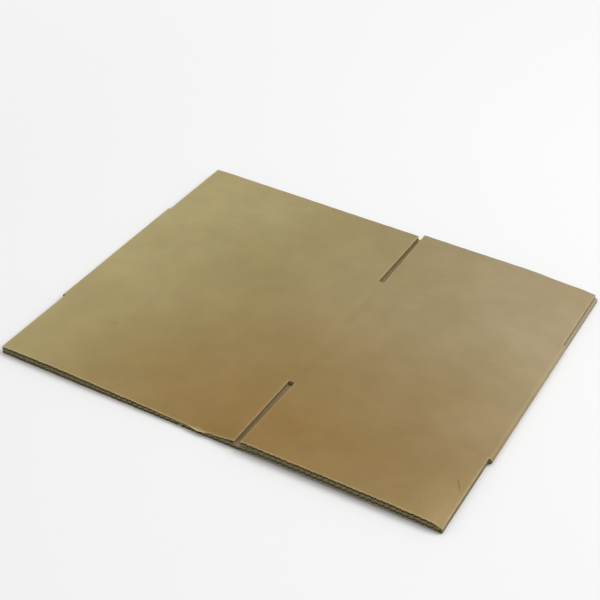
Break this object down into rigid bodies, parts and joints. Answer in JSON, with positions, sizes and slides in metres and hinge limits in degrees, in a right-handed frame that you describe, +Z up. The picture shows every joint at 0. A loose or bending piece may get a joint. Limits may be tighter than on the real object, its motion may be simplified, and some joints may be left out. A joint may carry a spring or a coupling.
{
  "type": "flattened cardboard box",
  "caption": "Shipping carton folded flat: a sleeve of corrugated board with slotted end flaps, pressed scores, rounded side folds and open flutes along its cut ends.",
  "frame": {"origin": "centre of the underside, on the surface that the box lies on", "axes": "+X across the walls from the left fold to the right fold, +Y along the flutes from the front flap ends to the back ones, +Z up through the layers"},
  "size_m": [0.7, 0.595, 0.0118],
  "materials": {
    "corrugated_board": "unprinted brown kraft liner, matt"
  },
  "bodies": {
    "root": {"flattened_box": "corrugated_board"}
  },
  "joints": []
}
